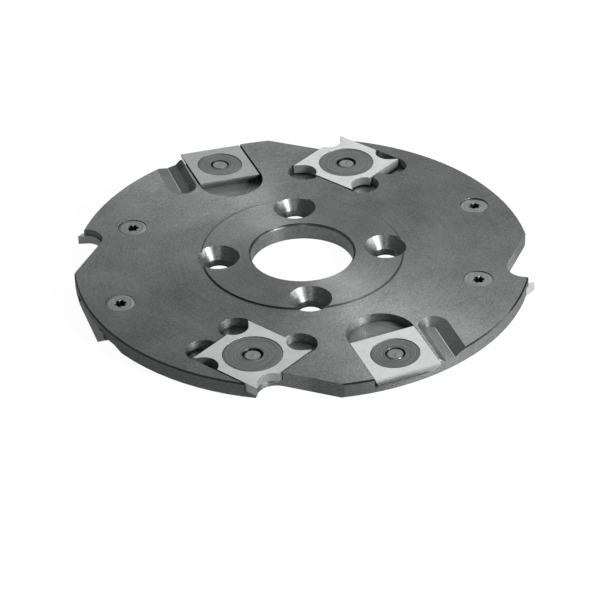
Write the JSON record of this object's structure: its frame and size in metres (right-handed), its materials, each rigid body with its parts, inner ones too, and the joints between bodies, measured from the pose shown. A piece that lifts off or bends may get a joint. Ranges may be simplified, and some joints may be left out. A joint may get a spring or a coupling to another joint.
{
  "type": "biscuit joiner blade",
  "caption": "Flat round grooving cutter: a steel plate with a bore and countersunk hub holes, and pointed and square carbide knives clamped in pockets in both faces.",
  "frame": {"origin": "on the cutter's axis at its lower hub face", "axes": "+Z along the cutter's axis, out of the face that the flange bolts are countersunk into; it cuts counterclockwise seen from +Z"},
  "size_m": [0.0976, 0.0982, 0.004],
  "materials": {
    "plate_steel": "dark ground tool steel with fine turned marks",
    "carbide": "fine ground light grey carbide",
    "nut_steel": "turned grey steel",
    "screw_steel": "plain light grey steel"
  },
  "bodies": {
    "root": {"plate": "plate_steel", "groover_top_1": "carbide", "groover_top_2": "carbide", "groover_under_1": "carbide", "groover_under_2": "carbide", "groover_nut_top_1": "nut_steel", "groover_nut_top_2": "nut_steel", "groover_nut_under_1": "nut_steel", "groover_nut_under_2": "nut_steel", "groover_screw_top_1": "screw_steel", "groover_screw_top_2": "screw_steel", "groover_screw_under_1": "screw_steel", "groover_screw_under_2": "screw_steel", "scorer_top_1": "carbide", "scorer_top_2": "carbide", "scorer_under_1": "carbide", "scorer_under_2": "carbide", "scorer_nut_top_1": "nut_steel", "scorer_nut_top_2": "nut_steel", "scorer_nut_under_1": "nut_steel", "scorer_nut_under_2": "nut_steel", "scorer_screw_top_1": "screw_steel", "scorer_screw_top_2": "screw_steel", "scorer_screw_under_1": "screw_steel", "scorer_screw_under_2": "screw_steel"}
  },
  "joints": []
}
